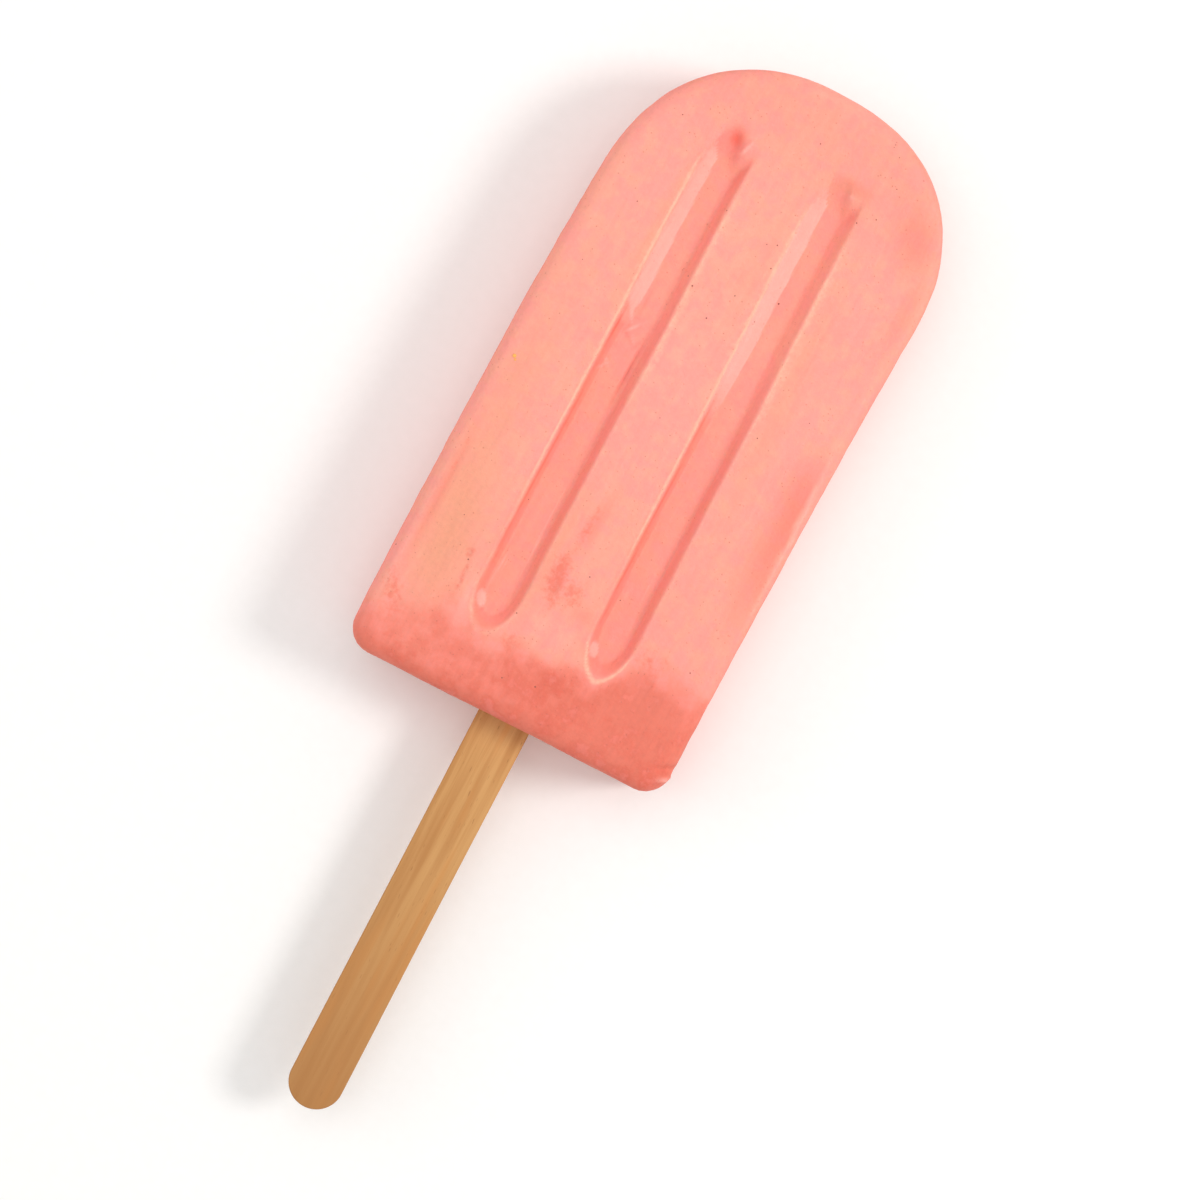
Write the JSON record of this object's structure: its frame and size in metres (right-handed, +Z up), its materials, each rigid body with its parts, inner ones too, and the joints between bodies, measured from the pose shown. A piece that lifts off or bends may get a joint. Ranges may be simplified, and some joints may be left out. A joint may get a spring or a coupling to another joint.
{
  "type": "ice pop",
  "caption": "Frozen fruit ice bar with a rounded tip and long grooves in both faces, on a flat wooden stick.",
  "frame": {"origin": "middle of the bar's flat back, on the surface that it rests on", "axes": "+X across the bar, +Y along it from the stick to the rounded tip, +Z up out of the face that shows"},
  "size_m": [0.0601, 0.1922, 0.022],
  "materials": {
    "ice": null,
    "wood": "bare light birch with fine grain along its length"
  },
  "bodies": {
    "root": {"ice_bar": "ice", "stick": "wood"}
  },
  "joints": []
}
